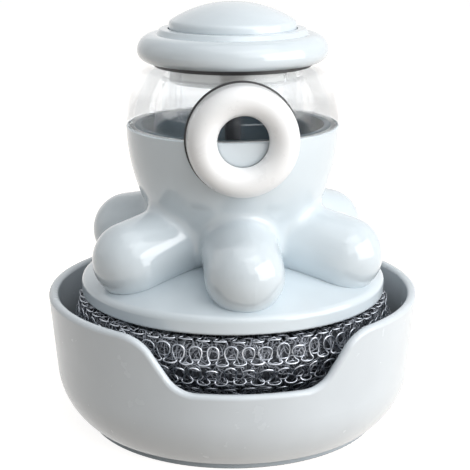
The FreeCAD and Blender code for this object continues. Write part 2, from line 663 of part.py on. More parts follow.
def reservoir_cup():
    """Inner soap cup: a lip in the body's rim, a round wall, a floor with the valve's bore, and the outlet tube."""
    lip_radius = HEAD_RADIUS - RIM_LAND - FIT_GAP
    lip_z = SPLIT_Z - CUP_LIP
    seal_inner = HEAD_RADIUS - DOME_WALL
    seal_z = SPLIT_Z - DOME_SEAL_THICKNESS
    bore = SEAT_RADIUS + FIT_GAP
    floor_edge = reach(HEAD_CENTRE_R, SPLIT_Z, CUP_INNER_CURVE, CUP_FLOOR_Z)
    return turned(
        at(bore, CUP_FLOOR_Z), at(floor_edge, CUP_FLOOR_Z),
        span(HEAD_CENTRE_R, SPLIT_Z, CUP_INNER_CURVE, CUP_FLOOR_Z, SPLIT_Z),
        at(seal_inner, SPLIT_Z), at(seal_inner, seal_z), at(lip_radius, seal_z), at(lip_radius, lip_z),
        at(reach(HEAD_CENTRE_R, SPLIT_Z, CUP_OUTER_CURVE, lip_z), lip_z),
        span(HEAD_CENTRE_R, SPLIT_Z, CUP_OUTER_CURVE, lip_z, CUP_UNDERSIDE_Z),
        at(OUTLET_RADIUS, CUP_UNDERSIDE_Z), at(OUTLET_RADIUS, OUTLET_END_Z),
        at(CHAMBER_RADIUS, OUTLET_END_Z), at(CHAMBER_RADIUS, CUP_UNDERSIDE_Z), at(bore, CUP_UNDERSIDE_Z),
    )


def outlet_seal():
    """Flat washer between the outlet tube's end and the plate's socket."""
    return tube(OUTLET_RADIUS - FIT_GAP, CHAMBER_RADIUS, SOCKET_Z, OUTLET_END_Z)


def dome_seal():
    """Flat seal in the cup's lip, under the dome's edge."""
    outer = HEAD_RADIUS - RIM_LAND - FIT_GAP
    inner = HEAD_RADIUS - DOME_WALL + FIT_GAP
    return tube(outer, inner, SPLIT_Z - DOME_SEAL_THICKNESS, SPLIT_Z)


def reservoir_dome():
    """Clear dome with a level top and a filler neck that hangs inside it."""
    inner_curve = DOME_CURVE - DOME_WALL
    ceiling = DOME_TOP_Z - DOME_WALL
    neck_outer = NECK_BORE + NECK_WALL
    top_radius = reach(DOME_CENTRE_R, SPLIT_Z, DOME_CURVE, DOME_TOP_Z)
    edge_z = SPLIT_Z + RIM_CHAMFER
    dome = turned(
        at(HEAD_RADIUS - DOME_WALL, SPLIT_Z), at(HEAD_RADIUS - RIM_CHAMFER, SPLIT_Z),
        at(reach(DOME_CENTRE_R, SPLIT_Z, DOME_CURVE, edge_z), edge_z),
        span(DOME_CENTRE_R, SPLIT_Z, DOME_CURVE, edge_z, DOME_TOP_Z),
        at(NECK_BORE, DOME_TOP_Z), at(NECK_BORE, NECK_BOTTOM_Z), at(neck_outer, NECK_BOTTOM_Z),
        at(neck_outer, ceiling), at(reach(DOME_CENTRE_R, SPLIT_Z, inner_curve, ceiling), ceiling),
        span(DOME_CENTRE_R, SPLIT_Z, inner_curve, ceiling, SPLIT_Z),
    )
    return round_edges(dome, DOME_TOP_ROUND, top_radius, DOME_TOP_Z)


def head_form(offset):
    """The head's outer form, body and dome together, grown by an offset."""
    low_z = LEG_ROOT_Z
    low_r = reach(HEAD_CENTRE_R, SPLIT_Z, HEAD_CURVE + offset, low_z)
    return turned(
        at(0, low_z), at(low_r, low_z),
        span(HEAD_CENTRE_R, SPLIT_Z, HEAD_CURVE + offset, low_z, SPLIT_Z),
        span(DOME_CENTRE_R, SPLIT_Z, DOME_CURVE + offset, SPLIT_Z, DOME_TOP_Z),
        at(0, DOME_TOP_Z),
    )


def ring_blank(outer, inner, front_y):
    """A ring on the front's axis with a round front, running back into the head."""
    half = (outer - inner) / 2
    middle = inner + half
    start = Vector(inner, 0, RING_Z)
    face = Part.Face(outline(
        start, Vector(outer, 0, RING_Z), Vector(outer, front_y + half, RING_Z),
        (Vector(middle, front_y, RING_Z), Vector(inner, front_y + half, RING_Z)),
    ))
    return face.revolve(Vector(0, 0, RING_Z), Vector(0, 1, 0), 360)


def mouth_ring():
    ring = ring_blank(RING_RADIUS, RING_HOLE, -HEAD_RADIUS - RING_PROUD).cut(head_form(RING_PAD))
    for x, z in peg_places():
        ring = ring.fuse(peg(PEG_RADIUS, x, z, peg_tip(x, z, PEG_DEPTH)))
    return ring


def ring_pad():
    """Thin dark pad that the ring is bedded on. Its edge shows round the ring."""
    pad = ring_blank(RING_RADIUS + RING_PAD_LIP, RING_HOLE, -HEAD_RADIUS - RING_PROUD)
    pad = pad.cut(head_form(FIT_GAP)).common(head_form(RING_PAD - FIT_GAP))
    for x, z in peg_places():
        pad = pad.cut(peg(PEG_RADIUS + FIT_GAP, x, z, 0))
    return pad


def valve_seat():
    seat = turned(
        at(STEM_RADIUS + GUIDE_GAP, CUP_UNDERSIDE_Z), at(SEAT_RADIUS, CUP_UNDERSIDE_Z),
        at(SEAT_RADIUS, CUP_FLOOR_Z), at(SEAT_FLANGE_RADIUS, CUP_FLOOR_Z),
        at(SEAT_FLANGE_RADIUS, SEAT_TOP_Z), at(STEM_RADIUS + GUIDE_GAP, SEAT_TOP_Z),
    )
    for x, y in around(FLOW_HOLES, FLOW_CIRCLE):
        seat = seat.cut(rod(FLOW_HOLE_RADIUS, CUP_UNDERSIDE_Z, SEAT_TOP_Z, x, y))
    return seat


def valve_stem():
    foot_top = PLUG_TOP_Z - PLUG_THICKNESS
    return turned(
        at(0, foot_top - STEM_FOOT_HEIGHT), at(STEM_FOOT_RADIUS, foot_top - STEM_FOOT_HEIGHT),
        at(STEM_FOOT_RADIUS, foot_top), at(STEM_RADIUS, foot_top), at(STEM_RADIUS, STEM_TOP_Z),
        at(0, STEM_TOP_Z),
    )


def valve_plug():
    return tube(PLUG_RADIUS, STEM_RADIUS + FIT_GAP, PLUG_TOP_Z - PLUG_THICKNESS, PLUG_TOP_Z)


def spring_keeper():
    return tube(KEEPER_RADIUS, STEM_RADIUS + FIT_GAP, KEEPER_Z, STEM_TOP_Z)


def biarc(start, start_way, end, end_way):
    """Two arcs that leave one point and reach the next along the given directions."""
    gap = end - start
    both = start_way + end_way
    a = both.dot(both) - 4
    b = -2 * gap.dot(both)
    c = gap.dot(gap)
    length = (-b - math.sqrt(b * b - 4 * a * c)) / (2 * a)
    first = start + start_way * length
    second = end - end_way * length
    joint = (first + second) * 0.5
    arcs = []
    for begin, corner, finish in ((start, first, joint), (joint, second, end)):
        chord = (begin + finish) * 0.5
        slant = (corner - begin).getAngle(finish - begin)
        middle = chord + (corner - chord) * (math.tan(slant / 2) / math.tan(slant))
        arcs.append(Part.Arc(begin, middle, finish).toShape())
    return arcs


def coil(name, mean_radius, wire_radius, bottom, top, turns):
    """A compression spring as one unbroken wire between two flat seats."""
    low = bottom + wire_radius + FIT_GAP
    climb = (top - bottom - 2 * wire_radius - 2 * FIT_GAP) / (2 * math.pi * turns)

    def place(angle):
        return Vector(mean_radius * math.cos(angle), mean_radius * math.sin(angle), low + climb * angle)

    def way(angle):
        return Vector(-mean_radius * math.sin(angle), mean_radius * math.cos(angle), climb).normalize()

    edges = []
    for quarter in range(4 * turns):
        begin = quarter * math.pi / 2
        finish = begin + math.pi / 2
        edges += biarc(place(begin), way(begin), place(finish), way(finish))
    section = Part.Wire(Part.makeCircle(wire_radius, place(0), way(0)))
    spring = Part.Wire(edges).makePipeShell([section], True, False)
    samples = [place(2 * math.pi * turns * k / 400) for k in range(401)]
    half_turn = 400 // (2 * turns)
    gaps = []
    for k, point in enumerate(samples):
        gaps += [point.distanceToPoint(other) for other in samples[k + half_turn:]]
    print(name, "least gap to itself: %.2f mm" % (min(gaps) - 2 * wire_radius))
    return spring


def valve_spring():
    return coil("valve_spring", VALVE_SPRING_RADIUS, VALVE_WIRE_RADIUS, SEAT_TOP_Z, KEEPER_Z, VALVE_SPRING_TURNS)


def button_spring():
    return coil(
        "button_spring", BUTTON_SPRING_RADIUS, BUTTON_WIRE_RADIUS, CAP_FLOOR_Z, SPRING_SEAT_Z, BUTTON_SPRING_TURNS
    )


def cap_gasket():
    return tube(GASKET_RADIUS, GASKET_RADIUS - GASKET_WIDTH, DOME_TOP_Z, CAP_Z)


def filler_cap():
    """Saucer cap: a fat round rim, a crease, a ledge, and a well that the button sinks into."""
    bore = BUSH_RADIUS + FIT_GAP
    ledge = CAP_CREASE_RADIUS - CAP_LEDGE_DRAW
    rim_end = on_arc(CAP_RADIUS - CAP_LOWER_ROUND, CAP_WIDE_Z, CAP_LOWER_ROUND, -math.pi / 2)
    rim_low = on_arc(CAP_RADIUS - CAP_LOWER_ROUND, CAP_WIDE_Z, CAP_LOWER_ROUND, -math.pi / 4)
    rim_high = on_arc(CAP_ROUND_R, CAP_WIDE_Z, CAP_UPPER_ROUND, math.pi / 4)
    cap = turned(
        at(bore, CAP_Z), rim_end, (rim_low, at(CAP_RADIUS, CAP_WIDE_Z)),
        (rim_high, at(CAP_CREASE_RADIUS, CAP_CREASE_Z)), at(ledge, BUTTON_BASE_Z), at(WELL_RADIUS, BUTTON_BASE_Z),
        at(WELL_RADIUS, CAP_FLOOR_Z), at(bore, CAP_FLOOR_Z),
    )
    return round_edges(cap, CAP_LEDGE_ROUND, ledge, BUTTON_BASE_Z)


def cap_plug():
    """Stopper under the cap: a disc with a flange inside the gasket, and a skirt that enters the filler neck."""
    bore = BUSH_RADIUS + FIT_GAP
    skirt_end = PLUG_FLOOR_Z - PLUG_SKIRT
    inner = CAP_PLUG_RADIUS - PLUG_WALL
    flange = GASKET_RADIUS - GASKET_WIDTH - FIT_GAP
    flange_z = DOME_TOP_Z + MOVING_GAP
    return turned(
        at(bore, PLUG_FLOOR_Z), at(inner, PLUG_FLOOR_Z), at(inner, skirt_end), at(CAP_PLUG_RADIUS, skirt_end),
        at(CAP_PLUG_RADIUS, flange_z), at(flange, flange_z), at(flange, CAP_Z), at(bore, CAP_Z),
    )


def rod_bush():
    """Guide bush for the rod. Its flange and ridge hold the cap and the plug together."""
    ridge_z = PLUG_FLOOR_Z - FIT_GAP
    pocket = BUSH_BORE + ROD_SEAL_WALL
    pocket_z = BUSH_BOTTOM_Z + ROD_SEAL_HEIGHT
    return turned(
        at(pocket, BUSH_BOTTOM_Z), at(BUSH_RADIUS, BUSH_BOTTOM_Z),
        at(BUSH_RADIUS, ridge_z - BUSH_RIDGE_HEIGHT), at(BUSH_RADIUS + BUSH_RIDGE, ridge_z),
        at(BUSH_RADIUS, ridge_z), at(BUSH_RADIUS, CAP_FLOOR_Z), at(BUSH_FLANGE_RADIUS, CAP_FLOOR_Z),
        at(BUSH_FLANGE_RADIUS, CAP_FLOOR_Z + BUSH_FLANGE), at(BUSH_BORE, CAP_FLOOR_Z + BUSH_FLANGE),
        at(BUSH_BORE, pocket_z), at(pocket, pocket_z),
    )


def rod_seal():
    pocket = BUSH_BORE + ROD_SEAL_WALL
    return tube(pocket - FIT_GAP, BUSH_BORE, BUSH_BOTTOM_Z, BUSH_BOTTOM_Z + ROD_SEAL_HEIGHT)


def press_button():
    centre_z = BUTTON_TOP_Z - BUTTON_SPHERE
    inner = BUTTON_SPHERE - BUTTON_WALL
    skirt_end = BUTTON_BASE_Z - BUTTON_SKIRT
    skirt_inner = BUTTON_RADIUS - BUTTON_WALL
    skirt_top = centre_z + math.sqrt(inner ** 2 - skirt_inner ** 2)
    seat_top = centre_z + math.sqrt(inner ** 2 - SPRING_SEAT_RADIUS ** 2)
    crown_middle = on_arc(0, centre_z, BUTTON_SPHERE, (math.pi / 2 + math.acos(BUTTON_RADIUS / BUTTON_SPHERE)) / 2)
    button = turned(
        at(0, ROD_TOP_Z), at(ROD_RADIUS + FIT_GAP, ROD_TOP_Z), at(ROD_RADIUS + FIT_GAP, BOSS_BOTTOM_Z),
        at(BUTTON_BOSS_RADIUS, BOSS_BOTTOM_Z), at(BUTTON_BOSS_RADIUS, SPRING_SEAT_Z),
        at(SPRING_SEAT_RADIUS, SPRING_SEAT_Z), at(SPRING_SEAT_RADIUS, seat_top),
        span(0, centre_z, inner, seat_top, skirt_top), at(skirt_inner, skirt_end),
        at(BUTTON_RADIUS, skirt_end), at(BUTTON_RADIUS, BUTTON_SHOULDER_Z), (crown_middle, at(0, BUTTON_TOP_Z)),
    )
    return round_edges(button, BUTTON_EDGE_ROUND, BUTTON_RADIUS, BUTTON_SHOULDER_Z)


def push_rod():
    return rod(ROD_RADIUS, ROD_BOTTOM_Z, ROD_TOP_Z)


def rod_clip():
    """Split ring on the rod that stops the button from rising out of the cap."""
    top = BUSH_BOTTOM_Z - CLIP_GAP
    clip = tube(CLIP_RADIUS, ROD_RADIUS + FIT_GAP, top - CLIP_THICKNESS, top)
    slot = Part.makeBox(CLIP_RADIUS, ROD_RADIUS, CLIP_THICKNESS, Vector(0, -ROD_RADIUS / 2, top - CLIP_THICKNESS))
    return clip.cut(slot)


PIECES = [
    tray_bowl, tray_foot_ring, scrubber_pad, scrubber_core, base_plate, leg_screws, body_shell, reservoir_cup,
    outlet_seal, dome_seal, reservoir_dome, mouth_ring, ring_pad, valve_seat, valve_stem, valve_plug, spring_keeper,
    valve_spring, cap_gasket, filler_cap, cap_plug, rod_bush, rod_seal, press_button, button_spring, push_rod,
    rod_clip,
]

os.makedirs("parts", exist_ok=True)
for make in PIECES:
    shape = make()
    if not shape.isValid():
        print(make.__name__, "is not valid")
    print(make.__name__, "solids", len(shape.Solids), "volume %.1f" % shape.Volume)
    shape.exportStep("parts/%s.step" % make.__name__)
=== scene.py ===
import math

import bpy
import numpy as np
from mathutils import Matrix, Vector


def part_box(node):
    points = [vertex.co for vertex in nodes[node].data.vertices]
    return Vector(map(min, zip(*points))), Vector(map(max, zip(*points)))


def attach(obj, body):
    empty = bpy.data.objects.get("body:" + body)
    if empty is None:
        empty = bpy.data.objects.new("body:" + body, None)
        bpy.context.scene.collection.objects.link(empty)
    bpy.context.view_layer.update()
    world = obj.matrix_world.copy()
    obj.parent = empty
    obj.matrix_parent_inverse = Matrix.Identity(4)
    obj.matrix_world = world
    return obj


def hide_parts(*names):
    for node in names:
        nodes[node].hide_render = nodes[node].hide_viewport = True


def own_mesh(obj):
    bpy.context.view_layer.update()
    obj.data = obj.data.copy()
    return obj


# Soap-dispensing palm scrubber in its drip tray: finishes, knitted wire, light and camera.
# Metres, +Z up, -Y to the front.

MM = 0.001

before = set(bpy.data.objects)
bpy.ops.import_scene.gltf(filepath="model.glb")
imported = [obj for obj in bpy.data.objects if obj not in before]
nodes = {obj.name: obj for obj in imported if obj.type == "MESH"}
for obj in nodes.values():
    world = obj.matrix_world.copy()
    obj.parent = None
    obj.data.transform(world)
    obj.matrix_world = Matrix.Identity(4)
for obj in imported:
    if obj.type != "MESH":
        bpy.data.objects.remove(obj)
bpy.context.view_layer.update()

# Finishes
NOISE_RANGE = (0.3, 0.7)            # where most of the noise lies
CLOUD_SCALE = 45                    # cloudiness of moulded plastic
CLOUD_SHADES = (0.96, 1.03)         # its darkest and lightest share of the colour
GLOSS_SCALE = 240                   # uneven gloss of moulded plastic
GLOSS_SPREAD = (0.85, 1.15)
RIPPLE_SCALE = 160                  # waves in its skin
RIPPLE_DEPTH = 0.04 * MM
COAT_ROUGHNESS = 0.025
MILKY = [0.90, 0.91, 0.90]
MILKY_ROUGHNESS = 0.35
STOPPER_CLEAR = 0.45                # share of light that goes straight through the stopper
DOME_CLEAR = 0.80                   # share of light that the dome does not bend
DOME_TINT_SCALE = 30
METAL_TONE_SCALE = 400
METAL_GLOSS_SCALE = 900
METAL_GLOSS_SPREAD = (0.7, 1.3)
GLINT_SCALE = 1400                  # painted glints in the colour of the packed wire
GLINT_DETAIL = 6.0
GLINT_RELIEF_DEPTH = 0.6 * MM

# Outline of the scrubber
EDGE_RADIUS = 41.0 * MM             # under the plate
BULGE_RADIUS = 43.6 * MM
BULGE_DROP = 7.0 * MM               # below the top
TURN_RADIUS = 38.9 * MM             # where the side turns in to the underside
TURN_RISE = 9.0 * MM                # above the underside
SOLE_RADIUS = 30.0 * MM             # flat part of the underside
LID_SHARES = (0.86, 0.99, 12)       # first and last share of the edge's radius, and number of points
SOLE_SHARES = (0.97, 0.02, 40)      # the same for the flat part of the underside
SIDE_POINTS = 60
TURN_POINTS = 30
SMOOTHING_ROUNDS = 6                # for the outward directions at the outline's corners

# Knitted wire of the scrubber
LOOP_PITCH = 4.4 * MM               # from loop to loop
ROW_PITCH = 5.55 * MM               # from row to row
LOOP_LEAN = 1.05 * MM               # how far a loop's sides lean back under its head
LOOP_HEAD = 3.4 * MM                # height of a loop's head above its waist
LOOP_LINK = 1.1 * MM                # drop of the link between two loops below the waist
LOOP_DEPTH = 0.55 * MM              # how far the wire runs over and under itself
RISE_SPREAD = 0.07                  # unevenness of a loop's height, as a share of it
LEAN_SPREAD = 0.12                  # of its lean, as a share of it
ROW_SPREAD = 0.2 * MM               # of its place up and down
SIDE_SPREAD = 0.22 * MM             # of its place sideways
DEPTH_SPREAD = 0.12 * MM            # of its place in and out
FEWEST_LOOPS = 6                    # in the smallest row
BARE_MIDDLE = 3 * MM                # stretch without rows at the middle of the underside
STITCH_STEPS = 20                   # points along a loop
RIBBON_WIDTH = 0.27 * MM            # half the width of the flat wire
RIBBON_THICKNESS = 0.13 * MM        # half its thickness
RIBBON_SIDES = 5

# Loose finer wire
STRANDS = 5200
STRAND_STEPS = 9
STRAND_STEP_MM = (0.5, 0.9)         # shortest and longest step
STRAND_BEND = 260                   # usual curvature, per metre
STRAND_LIFT_MM = 0.6                # how far a strand lies in or out
STRAND_TILT_MM = 0.3                # usual lift from its start to its end
STRAND_FIRST = 1 * MM               # strands start from here along the outline
STRAND_LAST = 6 * MM                # to this far before its end
STRAND_LEAST_RADIUS = 4 * MM
STRAND_WIDTH = 0.11 * MM            # half the width
STRAND_THICKNESS = 0.07 * MM        # half the thickness
STRAND_SIDES = 3

# Packed core
CORE_COLUMNS = 96
CORE_RINGS = 60

# Light
WINDOW_POWER = 7.7
OVERHEAD_POWER = 1.8
LEFT_RIM_POWER = 0.3
FRONT_POWER = 2.9
BACK_POWER = 0.2
LAMP_DISTANCE = 0.9
LAMP_AIM = np.array([0, 0, 0.06])
ROOM_DARK = [0.03, 0.03, 0.03]
ROOM_BRIGHT = [0.34, 0.355, 0.365]
ROOM_BRIGHT_SIDE = (-0.25, -0.7, 0.67)    # towards the front, up, and a little to the left
WHITE = [1.0, 1.0, 1.0]
FLOOR_COLOUR = [0.46, 0.41, 0.36]
FLOOR_GLOW = 0.88
FLOOR_HALF = 3.0
FLOOR_DROP = 0.1 * MM               # keeps the floor clear of the foot

# Camera, fitted to the photograph
CAMERA_DISTANCE = 340 * MM
CAMERA_HEIGHT = 142.65 * MM
CAMERA_AZIMUTH = math.radians(-5.3)
CAMERA_YAW = math.radians(-0.102)
CAMERA_PITCH = math.radians(15.15)
FOCAL_PIXELS = 1290.5
IMAGE_PIXELS = 470
SENSOR_MM = 36.0
NEAREST_SEEN = 10 * MM


def new_shader(name):
    """A material, its node tree and its main shader."""
    material = bpy.data.materials.new(name)
    material.use_nodes = True
    tree = material.node_tree
    return material, tree, tree.nodes["Principled BSDF"]


def feed(tree, socket, value):
    """Links a socket to another, or sets it to a number or a colour."""
    if isinstance(value, bpy.types.NodeSocket):
        tree.links.new(value, socket)
    elif isinstance(value, (list, tuple)):
        socket.default_value = [*value, 1.0]
    else:
        socket.default_value = value


def add_noise(tree, scale, detail=3.0):
    """Noise in the object's own frame, as a socket from 0 to 1."""
    place = tree.nodes.new("ShaderNodeTexCoord")
    noise = tree.nodes.new("ShaderNodeTexNoise")
    noise.inputs["Scale"].default_value = scale
    noise.inputs["Detail"].default_value = detail
    tree.links.new(place.outputs["Object"], noise.inputs["Vector"])
    return noise.outputs["Fac"]


def between(tree, noise, low, high):
    """A value that runs from low to high with the noise."""
    node = tree.nodes.new("ShaderNodeMapRange")
    node.inputs["From Min"].default_value = NOISE_RANGE[0]
    node.inputs["From Max"].default_value = NOISE_RANGE[1]
    node.inputs["To Min"].default_value = low
    node.inputs["To Max"].default_value = high
    tree.links.new(noise, node.inputs["Value"])
    return node.outputs["Result"]


def mix_colours(tree, share, first, second):
    """A colour between two: each is a socket or a list of three numbers."""
    node = tree.nodes.new("ShaderNodeMix")
    node.data_type = "RGBA"
    for name, value in (("A", first), ("B", second)):
        target = [s for s in node.inputs if s.name == name and s.type == "RGBA"][0]
        feed(tree, target, value)
    tree.links.new(share, node.inputs[0])
    return [s for s in node.outputs if s.type == "RGBA"][0]


def larger(tree, first, second):
    """The larger of a socket and another socket or number."""
    node = tree.nodes.new("ShaderNodeMath")
    node.operation = "MAXIMUM"
    tree.links.new(first, node.inputs[0])
    feed(tree, node.inputs[1], second)
    return node.outputs[0]


def mottle(tree, shader, scale, dark, bright):
    """Base colour that wanders between two colours."""
    share = between(tree, add_noise(tree, scale), 0, 1)
    tree.links.new(mix_colours(tree, share, dark, bright), shader.inputs["Base Color"])


def uneven_gloss(tree, shader, scale, roughness, spread):
    """Roughness that wanders between two shares of its usual value."""
    low, high = spread
    gloss = between(tree, add_noise(tree, scale), roughness * low, roughness * high)
    tree.links.new(gloss, shader.inputs["Roughness"])


def add_bump(tree, shader, height, depth, strength):
    """Small relief from a socket of heights."""
    node = tree.nodes.new("ShaderNodeBump")
    node.inputs["Distance"].default_value = depth
    node.inputs["Strength"].default_value = strength
    tree.links.new(height, node.inputs["Height"])
    tree.links.new(node.outputs["Normal"], shader.inputs["Normal"])


def let_through(tree, share, tint):
    """Lets a share of the light straight through a material."""
    shader = tree.nodes["Principled BSDF"]
    through = tree.nodes.new("ShaderNodeBsdfTransparent")
    feed(tree, through.inputs["Color"], tint)
    mix = tree.nodes.new("ShaderNodeMixShader")
    feed(tree, mix.inputs[0], share)
    tree.links.new(shader.outputs[0], mix.inputs[1])
    tree.links.new(through.outputs[0], mix.inputs[2])
    tree.links.new(mix.outputs[0], tree.nodes["Material Output"].inputs["Surface"])


def moulded(name, colour, roughness, coat=0.0, ripple=0.12):
    """Moulded plastic or rubber: faint cloudiness, uneven gloss and a slightly wavy skin."""
    material, tree, shader = new_shader(name)
    darkest, lightest = CLOUD_SHADES
    darker = [c * darkest for c in colour]
    lighter = [min(c * lightest, 1.0) for c in colour]
    mottle(tree, shader, CLOUD_SCALE, darker, lighter)
    uneven_gloss(tree, shader, GLOSS_SCALE, roughness, GLOSS_SPREAD)
    shader.inputs["Coat Weight"].default_value = coat
    shader.inputs["Coat Roughness"].default_value = COAT_ROUGHNESS
    add_bump(tree, shader, add_noise(tree, RIPPLE_SCALE, 1.0), RIPPLE_DEPTH, ripple)
    return material


def clear_plastic(name):
    """Clear moulded plastic that lets light through to what is inside."""
    material, tree, shader = new_shader(name)
    mottle(tree, shader, DOME_TINT_SCALE, [0.95, 0.97, 0.98], [0.98, 0.99, 0.99])
    shader.inputs["Transmission Weight"].default_value = 1.0
    shader.inputs["IOR"].default_value = 1.25
    shader.inputs["Roughness"].default_value = 0.015
    paths = tree.nodes.new("ShaderNodeLightPath")
    share = larger(tree, paths.outputs["Is Shadow Ray"], DOME_CLEAR)
    let_through(tree, share, [0.99, 0.995, 1.0])
    return material


def translucent(name, colour, share):
    """Milky plastic that a share of the light goes straight through."""
    material = moulded(name, colour, MILKY_ROUGHNESS)
    let_through(material.node_tree, share, WHITE)
    return material


def bare_metal(name, dark, bright, roughness):
    """Bare metal of uneven tone and gloss."""
    material, tree, shader = new_shader(name)
    mottle(tree, shader, METAL_TONE_SCALE, dark, bright)
    shader.inputs["Metallic"].default_value = 1.0
    uneven_gloss(tree, shader, METAL_GLOSS_SCALE, roughness, METAL_GLOSS_SPREAD)
    return material


def packed_wire_painted_shade(name):
    """Mass of fine wire, painted near-black for the shade between its wires, with a few faint painted
    glints.
    """
    material, tree, shader = new_shader(name)
    glints_and_relief = add_noise(tree, GLINT_SCALE, GLINT_DETAIL)
    # The near-black is painted shade between the packed wires; the lighter specks are painted glints.
    tone = mix_colours(tree, between(tree, glints_and_relief, 0, 1), [0.014, 0.016, 0.021], [0.12, 0.13, 0.15])
    tree.links.new(tone, shader.inputs["Base Color"])
    shader.inputs["Metallic"].default_value = 0.6
    shader.inputs["Roughness"].default_value = 0.5
    add_bump(tree, shader, glints_and_relief, GLINT_RELIEF_DEPTH, 0.8)
    return material


def finish_solids():
    """Gives every CAD piece its finish, except the scrubber's plain pad, which the knit replaces. The
    reservoir cup's dark colour is painted shade, and the black behind the mouth ring also paints the
    shadow gap round it.
    """
    body = moulded("pale_blue_plastic", [0.67, 0.74, 0.785], 0.07, coat=0.4, ripple=0.03)
    tray = moulded("tray_plastic", [0.66, 0.71, 0.75], 0.24, coat=0.2, ripple=0.04)
    ring = moulded("white_ring", [0.95, 0.955, 0.96], 0.3, coat=0.2, ripple=0.03)
    foot = moulded("foot_rubber", [0.42, 0.47, 0.51], 0.6)
    # The reservoir cup's near-black teal is painted shade: it stands in for the shade inside the
    # reservoir behind the clear dome.
    cup = moulded("cup_painted_shade", [0.07, 0.1, 0.12], 0.55)
    bush = moulded("tan_bush", [0.42, 0.25, 0.12], 0.45)
    core = moulded("core_plastic", [0.55, 0.57, 0.6], 0.4)
    plug = moulded("valve_rubber", [0.55, 0.55, 0.52], 0.5)
    milky = moulded("milky_plastic", MILKY, MILKY_ROUGHNESS)
    black = moulded("black_rubber", [0.012, 0.012, 0.014], 0.45)
    charcoal = moulded("charcoal_plastic", [0.03, 0.032, 0.036], 0.4)
    stopper = translucent("stopper_plastic", MILKY, STOPPER_CLEAR)
    dome = clear_plastic("clear_dome")
    steel = bare_metal("spring_steel", [0.45, 0.45, 0.44], [0.62, 0.62, 0.61], 0.25)
    finishes = [
        (body, ["body_shell", "base_plate", "filler_cap", "press_button"]),
        (tray, ["tray_bowl"]),
        (ring, ["mouth_ring"]),
        (foot, ["tray_foot_ring"]),
        (cup, ["reservoir_cup"]),
        (bush, ["rod_bush"]),
        (core, ["scrubber_core"]),
        (plug, ["valve_plug"]),
        (milky, ["valve_seat", "spring_keeper", "dome_seal"]),
        # ring_pad's black is partly painted shade: besides the pad's own black rubber, it draws the dark
        # shadow gap round the mouth ring.
        (black, ["cap_gasket", "ring_pad", "outlet_seal", "rod_seal"]),
        (charcoal, ["push_rod", "valve_stem"]),
        (stopper, ["cap_plug"]),
        (dome, ["reservoir_dome"]),
        (steel, ["leg_screws", "rod_clip", "valve_spring", "button_spring"]),
    ]
    for material, names in finishes:
        for name in names:
            mesh = nodes[name].data
            mesh.materials.clear()
            mesh.materials.append(material)


def mesh_object(name, points, faces, material):
    """A smooth mesh in the scene."""
    mesh = bpy.data.meshes.new(name)
    mesh.from_pydata(points, [], faces)
    mesh.update()
    mesh.polygons.foreach_set("use_smooth", [True] * len(mesh.polygons))
    mesh.materials.append(material)
    made = bpy.data.objects.new(name, mesh)
    bpy.context.scene.collection.objects.link(made)
    return made


def arc_points(first, middle, last, count):
    """Points along the circular arc through three points of the pad's outline."""
    (ax, ay), (bx, by), (cx, cy) = first, middle, last
    a2, b2, c2 = ax * ax + ay * ay, bx * bx + by * by, cx * cx + cy * cy
    divisor = 2 * (ax * (by - cy) + bx * (cy - ay) + cx * (ay - by))
    centre_x = (a2 * (by - cy) + b2 * (cy - ay) + c2 * (ay - by)) / divisor
    centre_y = (a2 * (cx - bx) + b2 * (ax - cx) + c2 * (bx - ax)) / divisor
    radius = math.hypot(ax - centre_x, ay - centre_y)
    start = math.atan2(ay - centre_y, ax - centre_x)
    end = math.atan2(cy - centre_y, cx - centre_x)
    angles = np.linspace(start, end, count)
    return np.stack([centre_x + radius * np.cos(angles), centre_y + radius * np.sin(angles)], 1)


class PadOutline:
    """The pad's turned outline: under the plate, round the side and in to the middle of its underside."""

    def __init__(self, inset):
        low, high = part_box("scrubber_pad")
        top, bottom = high[2], low[2]
        edge, turn, sole = (EDGE_RADIUS, top), (TURN_RADIUS, bottom + TURN_RISE), (SOLE_RADIUS, bottom)
        bulge = (BULGE_RADIUS, top - BULGE_DROP)
        slant = math.sin(math.pi / 4)
        corner = (sole[0] + (turn[0] - sole[0]) * slant, bottom + (turn[1] - bottom) * (1 - slant))
        line = np.concatenate([
            [[EDGE_RADIUS * share, top] for share in np.linspace(*LID_SHARES)],
            arc_points(edge, bulge, turn, SIDE_POINTS),
            arc_points(turn, corner, sole, TURN_POINTS)[1:],
            [[SOLE_RADIUS * share, bottom] for share in np.linspace(*SOLE_SHARES)],
        ])
        step = np.gradient(line, axis=0)
        step /= np.linalg.norm(step, axis=1, keepdims=True)
        normal = np.stack([-step[:, 1], step[:, 0]], 1)
        for _ in range(SMOOTHING_ROUNDS):
            normal[1:-1] = (normal[:-2] + normal[1:-1] * 2 + normal[2:]) / 4
        normal /= np.linalg.norm(normal, axis=1, keepdims=True)
        self.line = line - normal * inset
        self.normal = normal
        lengths = np.linalg.norm(np.diff(self.line, axis=0), axis=1)
        self.run = np.concatenate([[0], np.cumsum(lengths)])
        self.length = self.run[-1]

    def at(self, run):
        """Radius, height and outward direction at a distance along the outline."""
        values = [np.interp(run, self.run, self.line[:, k]) for k in (0, 1)]
        ways = [np.interp(run, self.run, self.normal[:, k]) for k in (0, 1)]
        return values + ways

    def place(self, run, angle, lift):
        """Points and outward directions in space. The angle is from the front, positive towards +X."""
        radius, height, out_r, out_z = self.at(run)
        reach = radius + out_r * lift
        along_x, along_y = np.sin(angle), -np.cos(angle)
        points = np.stack([reach * along_x, reach * along_y, height + out_z * lift], 1)
        outward = np.stack([out_r * along_x, out_r * along_y, out_z], 1)
        return points, outward


